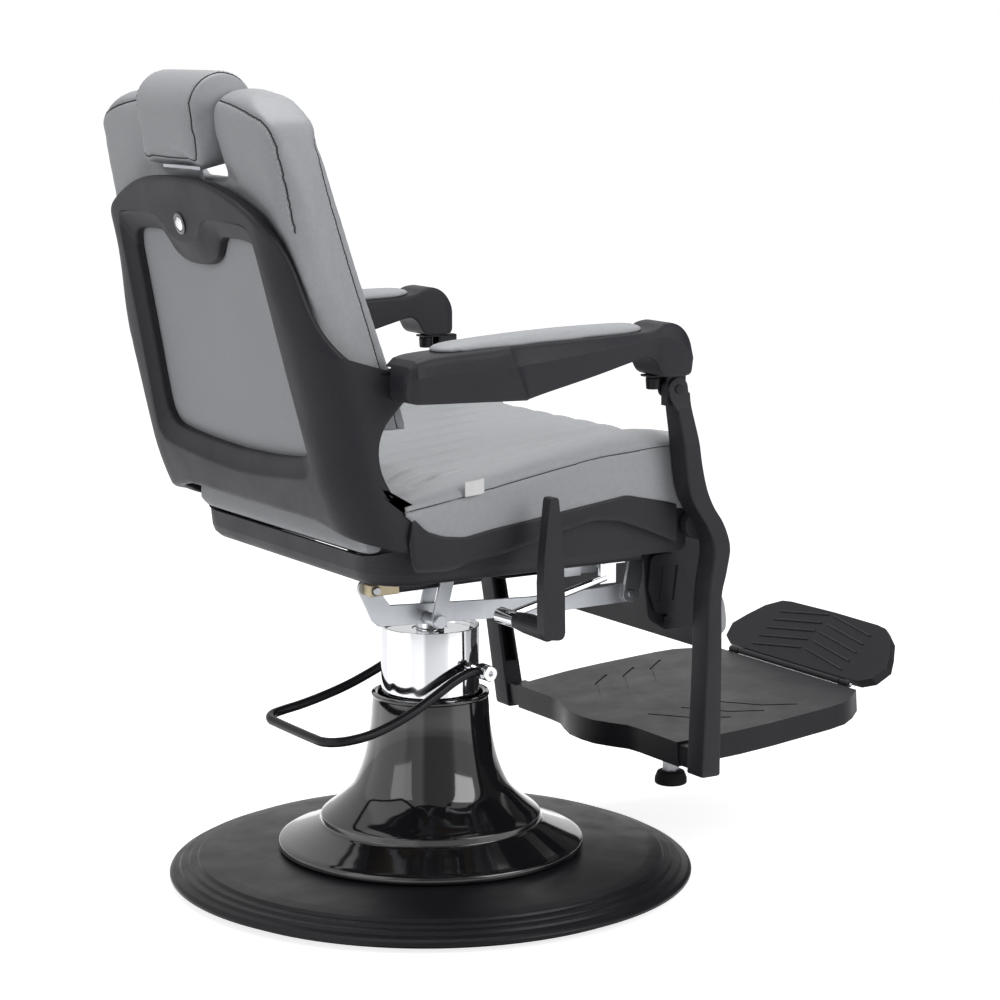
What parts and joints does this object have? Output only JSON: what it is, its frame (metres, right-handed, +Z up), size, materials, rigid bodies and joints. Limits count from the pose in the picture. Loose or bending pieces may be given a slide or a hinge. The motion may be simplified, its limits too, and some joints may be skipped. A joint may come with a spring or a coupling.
{
  "type": "hydraulic barber chair",
  "caption": "Hydraulic barber chair: round base, foot pump, reclining back with levelling arms, sliding headrest and a swinging leg rest with a folding footplate.",
  "frame": {"origin": "middle of the base's underside on the floor, on the swivel axis", "axes": "+Z up; the chair faces -Y; the sitter's right hand, with the recline lever, is at -X"},
  "size_m": [0.7, 1.0703, 1.0719],
  "materials": {
    "satin_black": "satin",
    "gloss_black": "gloss",
    "charcoal_plastic": "fine grain, satin",
    "grey_leather": "smooth vinyl leather",
    "chrome": "polished",
    "zinc_steel": "zinc plated",
    "clevis_brass": "yellow passivated",
    "black_rubber": "matt",
    "plywood": "raw"
  },
  "bodies": {
    "base": {"base_weight_plate": "zinc_steel", "base_cover": "satin_black", "base_edge_ring": "black_rubber", "base_bell": "gloss_black", "base_socket": "zinc_steel"},
    "pump": {"pump_cylinder": "zinc_steel", "chrome_sleeve": "chrome", "sleeve_cap": "chrome"},
    "pedal": {"pedal_bar": "satin_black", "pedal_shaft": "chrome"},
    "seat": {"lift_ram": "chrome", "seat_frame": "zinc_steel", "seat_board": "plywood", "seat_shell": "charcoal_plastic", "seat_cushion": "grey_leather", "recline_pin_right": "zinc_steel", "recline_pin_left": "zinc_steel", "strap_top_pin": "zinc_steel", "recline_lock": "zinc_steel", "lever_support": "chrome"},
    "backrest": {"back_frame": "charcoal_plastic", "back_panel": "grey_leather", "back_cushion": "grey_leather", "headrest_guide": "zinc_steel", "button_bezel": "satin_black"},
    "headrest": {"headrest_cushion": "grey_leather", "headrest_post": "zinc_steel"},
    "release_button": {"headrest_button": "chrome"},
    "arm_right": {"arm_housing_right": "charcoal_plastic", "arm_pad_right": "grey_leather", "arm_bracket_right": "satin_black", "arm_rear_pin_right": "zinc_steel"},
    "arm_left": {"arm_housing_left": "charcoal_plastic", "arm_pad_left": "grey_leather", "arm_bracket_left": "satin_black", "arm_rear_pin_left": "zinc_steel"},
    "leg_frame": {"post_right": "charcoal_plastic", "post_left": "charcoal_plastic", "leg_cross_tube": "zinc_steel", "leg_plate_right": "satin_black", "leg_plate_left": "satin_black", "bar_pin": "zinc_steel", "calf_shell": "charcoal_plastic", "calf_cushion": "grey_leather", "footplate": "satin_black", "stop_foot": "black_rubber", "flip_hinge_pin": "zinc_steel"},
    "flip": {"flip_plate": "satin_black"},
    "link": {"link_bar": "zinc_steel", "hook_bolt": "zinc_steel"},
    "straps": {"bar_strap_right": "zinc_steel", "bar_strap_left": "zinc_steel", "strap_bolt": "zinc_steel"},
    "gas_body": {"gas_spring_clevis": "clevis_brass", "gas_spring_cylinder": "satin_black"},
    "gas_rod": {"gas_spring_rod": "chrome"},
    "lever": {"lever_handle": "charcoal_plastic", "lever_hub": "charcoal_plastic"}
  },
  "joints": [
    {"name": "swivel", "type": "hinge", "parent": "base", "child": "pump", "pos_m": [0, 0, 0], "axis": [0, 0, 1], "continuous": true},
    {"name": "seat_lift", "type": "slide", "parent": "pump", "child": "seat", "axis": [0, 0, 1], "range_m": [0, 0.14]},
    {"name": "pedal_press", "type": "hinge", "parent": "pump", "child": "pedal", "pos_m": [0, -0.035, 0.287], "axis": [-1, 0, 0], "range_deg": [0, 22], "stiffness_Nm_per_rad": 3, "springref_deg": -22.92},
    {"name": "recline", "type": "hinge", "parent": "seat", "child": "backrest", "pos_m": [0, 0.155, 0.518], "axis": [-1, 0, 0], "range_deg": [0, 50]},
    {"name": "leg_swing", "type": "hinge", "parent": "seat", "child": "leg_frame", "pos_m": [0, -0.24, 0.492], "axis": [-1, 0, 0], "range_deg": [0, 50]},
    {"name": "arm_right_level", "type": "hinge", "parent": "backrest", "child": "arm_right", "pos_m": [0, 0.205, 0.7], "axis": [-1, 0, 0], "range_deg": [-50, 0]},
    {"name": "arm_left_level", "type": "hinge", "parent": "backrest", "child": "arm_left", "pos_m": [0, 0.205, 0.7], "axis": [-1, 0, 0], "range_deg": [-50, 0]},
    {"name": "bar_level", "type": "hinge", "parent": "leg_frame", "child": "link", "pos_m": [0, -0.213, 0.387], "axis": [-1, 0, 0], "range_deg": [-50, 0]},
    {"name": "strap_swing", "type": "hinge", "parent": "seat", "child": "straps", "pos_m": [0, 0.068, 0.492], "axis": [-1, 0, 0], "range_deg": [0, 50]},
    {"name": "spring_tilt", "type": "hinge", "parent": "link", "child": "gas_body", "pos_m": [0, 0.179, 0.433], "axis": [-1, 0, 0], "range_deg": [-2.6, 0]},
    {"name": "spring_stroke", "type": "slide", "parent": "gas_body", "child": "gas_rod", "axis": [0, 0.9998, -0.0174], "range_m": [0, 0.0905]},
    {"name": "headrest_height", "type": "slide", "parent": "backrest", "child": "headrest", "axis": [0, 0.2214, 0.9752], "range_m": [0, 0.1]},
    {"name": "headrest_release", "type": "slide", "parent": "backrest", "child": "release_button", "axis": [0, -0.9752, 0.2214], "range_m": [0, 0.003], "stiffness_N_per_m": 400, "springref_m": -0.003},
    {"name": "flip_fold", "type": "hinge", "parent": "leg_frame", "child": "flip", "pos_m": [0, -0.60102, 0.21281], "axis": [-1, 0, 0], "range_deg": [0, 130]},
    {"name": "lever_pull", "type": "hinge", "parent": "seat", "child": "lever", "pos_m": [0, 0.01, 0.388], "axis": [-1, 0, 0], "range_deg": [0, 20], "stiffness_Nm_per_rad": 2, "springref_deg": -17.19}
  ],
  "couplings": [
    {"joint": "leg_swing", "follows": "recline", "ratio": 1},
    {"joint": "arm_right_level", "follows": "recline", "ratio": -1},
    {"joint": "arm_left_level", "follows": "recline", "ratio": -1},
    {"joint": "bar_level", "follows": "recline", "ratio": -1},
    {"joint": "strap_swing", "follows": "recline", "ratio": 1},
    {"joint": "spring_tilt", "follows": "recline", "ratio": -0.05},
    {"joint": "spring_stroke", "follows": "recline", "m_per_rad": 0.103}
  ]
}
